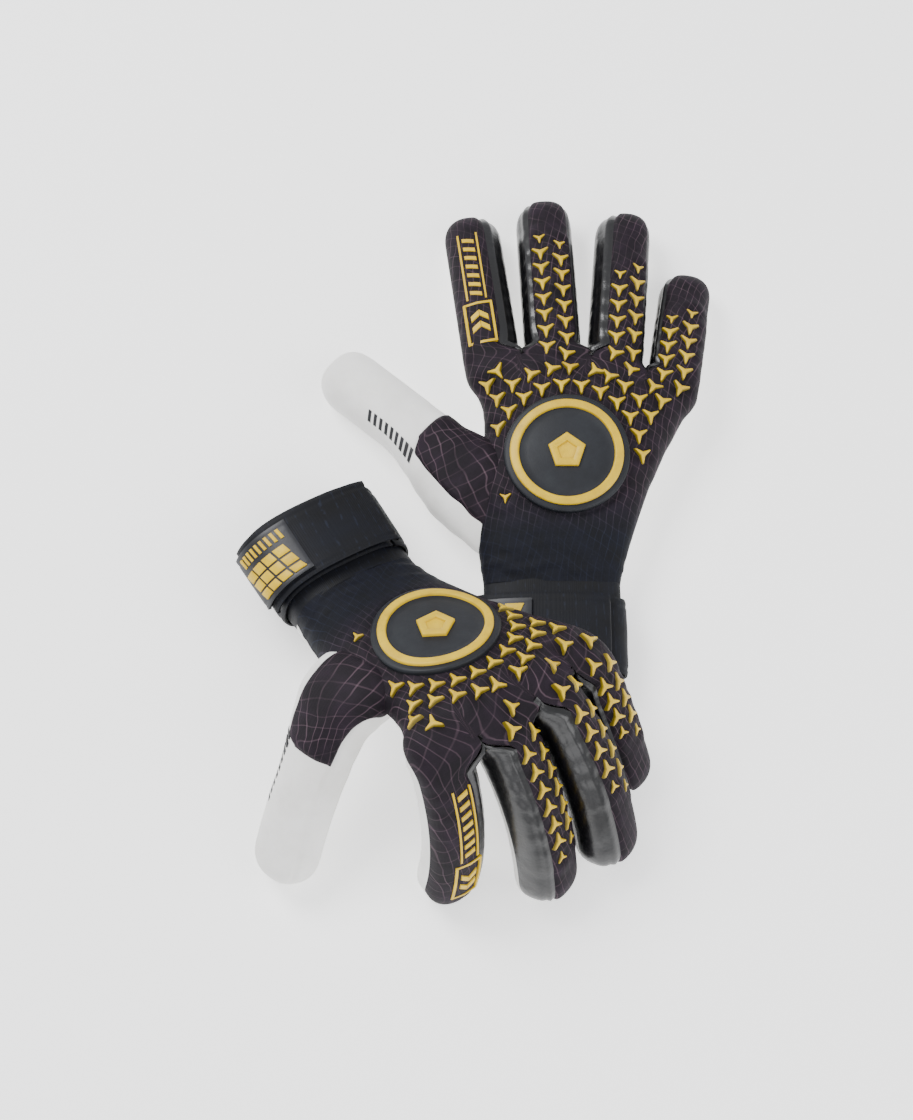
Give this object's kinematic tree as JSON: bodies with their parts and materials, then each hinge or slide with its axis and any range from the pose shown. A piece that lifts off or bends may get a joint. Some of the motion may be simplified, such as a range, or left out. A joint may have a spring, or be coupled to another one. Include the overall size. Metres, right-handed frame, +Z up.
{
  "type": "goalkeeper gloves",
  "caption": "Pair of padded goalkeeper gloves with latex palms, raised rubber prints on the back and strapped cuffs, laid palm down.",
  "frame": {"origin": "centre of the pair's bounding box, on the surface that the gloves lie on", "axes": "+Z up; +Y from the wearer's wrist to the fingertips of the right glove; +X to the right glove's little finger side; the left glove lies in front, turned with its fingers towards -Y"},
  "size_m": [0.2478, 0.39, 0.0975],
  "materials": {
    "printed_knit": "dark plum-black printed knit",
    "gusset_coating": "glossy black coated gusset fabric",
    "latex_foam": "matt white latex foam",
    "towel_lining": "dark towelling lining",
    "badge_rubber": "charcoal moulded rubber",
    "yellow_rubber": "yellow moulded rubber print",
    "tab_rubber": "black moulded rubber with yellow bars",
    "neoprene": "black neoprene and elastic",
    "hook_tape": "black hook and loop tape"
  },
  "bodies": {
    "right_hand": {"right_badge_disc": "badge_rubber", "right_badge_motif": "yellow_rubber", "right_badge_ring": "yellow_rubber", "right_cuff_band": "neoprene", "right_hand_back": "printed_knit", "right_hook_patch": "hook_tape", "right_loop_patch": "hook_tape", "right_palm_latex": "latex_foam", "right_palm_lining": "towel_lining", "right_star_panel": "yellow_rubber", "right_strap_flap": "neoprene", "right_strap_tab": "tab_rubber", "right_strap_wrap": "neoprene"},
    "left_hand": {"left_badge_disc": "badge_rubber", "left_badge_motif": "yellow_rubber", "left_badge_ring": "yellow_rubber", "left_cuff_band": "neoprene", "left_hand_back": "printed_knit", "left_loop_patch": "hook_tape", "left_palm_latex": "latex_foam", "left_palm_lining": "towel_lining", "left_star_panel": "yellow_rubber", "left_strap_wrap": "neoprene"},
    "left_flap": {"left_hook_patch": "hook_tape", "left_strap_flap": "neoprene", "left_strap_tab": "tab_rubber"},
    "left_index_finger": {"left_index_back": "printed_knit", "left_index_gusset_inner": "gusset_coating", "left_index_palm": "latex_foam", "left_index_rib_panel": "yellow_rubber"},
    "left_middle_finger": {"left_middle_back": "printed_knit", "left_middle_gusset_inner": "gusset_coating", "left_middle_gusset_outer": "gusset_coating", "left_middle_palm": "latex_foam"},
    "left_pinky_finger": {"left_pinky_back": "printed_knit", "left_pinky_gusset_outer": "gusset_coating", "left_pinky_palm": "latex_foam"},
    "left_ring_finger": {"left_ring_back": "printed_knit", "left_ring_gusset_inner": "gusset_coating", "left_ring_gusset_outer": "gusset_coating", "left_ring_palm": "latex_foam"},
    "left_thumb": {"left_thumb_latex": "latex_foam", "left_thumb_patch": "printed_knit"},
    "right_index_finger": {"right_index_back": "printed_knit", "right_index_gusset_inner": "gusset_coating", "right_index_palm": "latex_foam", "right_index_rib_panel": "yellow_rubber"},
    "right_middle_finger": {"right_middle_back": "printed_knit", "right_middle_gusset_inner": "gusset_coating", "right_middle_gusset_outer": "gusset_coating", "right_middle_palm": "latex_foam"},
    "right_pinky_finger": {"right_pinky_back": "printed_knit", "right_pinky_gusset_outer": "gusset_coating", "right_pinky_palm": "latex_foam"},
    "right_ring_finger": {"right_ring_back": "printed_knit", "right_ring_gusset_inner": "gusset_coating", "right_ring_gusset_outer": "gusset_coating", "right_ring_palm": "latex_foam"},
    "right_thumb": {"right_thumb_latex": "latex_foam", "right_thumb_patch": "printed_knit"}
  },
  "joints": [
    {"name": "right_index_knuckle", "type": "hinge", "parent": "right_hand", "child": "right_index_finger", "pos_m": [0.00849, 0.08999, 0.01469], "axis": [-0.9913, -0.1298, -0.0239], "range_deg": [-15, 45], "stiffness_Nm_per_rad": 0.2},
    {"name": "right_middle_knuckle", "type": "hinge", "parent": "right_hand", "child": "right_middle_finger", "pos_m": [0.04027, 0.09299, 0.01542], "axis": [-0.9986, -0.0481, -0.0212], "range_deg": [-15, 45], "stiffness_Nm_per_rad": 0.2},
    {"name": "right_ring_knuckle", "type": "hinge", "parent": "right_hand", "child": "right_ring_finger", "pos_m": [0.07196, 0.08884, 0.01586], "axis": [-0.9967, 0.0791, -0.0167], "range_deg": [-15, 45], "stiffness_Nm_per_rad": 0.2},
    {"name": "right_pinky_knuckle", "type": "hinge", "parent": "right_hand", "child": "right_pinky_finger", "pos_m": [0.10091, 0.07427, 0.01581], "axis": [-0.988, 0.1536, -0.0139], "range_deg": [-15, 45], "stiffness_Nm_per_rad": 0.2},
    {"name": "right_thumb_knuckle", "type": "hinge", "parent": "right_hand", "child": "right_thumb", "pos_m": [-0.0034, 0.03099, 0.01258], "axis": [-0.669, -0.7422, -0.0389], "range_deg": [-10, 30], "stiffness_Nm_per_rad": 0.2},
    {"name": "left_index_knuckle", "type": "hinge", "parent": "left_hand", "child": "left_index_finger", "pos_m": [-0.02425, -0.14023, 0.07625], "axis": [0.7762, 0.574, -0.2608], "range_deg": [-30, 10], "stiffness_Nm_per_rad": 0.2},
    {"name": "left_middle_knuckle", "type": "hinge", "parent": "left_hand", "child": "left_middle_finger", "pos_m": [0.00337, -0.12774, 0.07175], "axis": [0.5601, 0.7347, -0.3828], "range_deg": [-30, 10], "stiffness_Nm_per_rad": 0.2},
    {"name": "left_ring_knuckle", "type": "hinge", "parent": "left_hand", "child": "left_ring_finger", "pos_m": [0.02824, -0.10888, 0.06315], "axis": [0.5885, 0.7189, -0.37], "range_deg": [-30, 10], "stiffness_Nm_per_rad": 0.2},
    {"name": "left_pinky_knuckle", "type": "hinge", "parent": "left_hand", "child": "left_pinky_finger", "pos_m": [0.04389, -0.08388, 0.04969], "axis": [0.5815, 0.7229, -0.3732], "range_deg": [-30, 10], "stiffness_Nm_per_rad": 0.2},
    {"name": "left_thumb_knuckle", "type": "hinge", "parent": "left_hand", "child": "left_thumb", "pos_m": [-0.05963, -0.10723, 0.05235], "axis": [0.6365, -0.6252, 0.4515], "range_deg": [-15, 15], "stiffness_Nm_per_rad": 0.2},
    {"name": "left_strap_opening", "type": "hinge", "parent": "left_hand", "child": "left_flap", "pos_m": [-0.04945, 0.00424, 0.04195], "axis": [-0.5207, 0.8534, -0.0225], "range_deg": [0, 100], "stiffness_Nm_per_rad": 0.02},
    {"name": "left_glove_lift", "type": "slide", "parent": "right_hand", "child": "left_hand", "axis": [0, 0, 1], "range_m": [0, 0.2]}
  ]
}
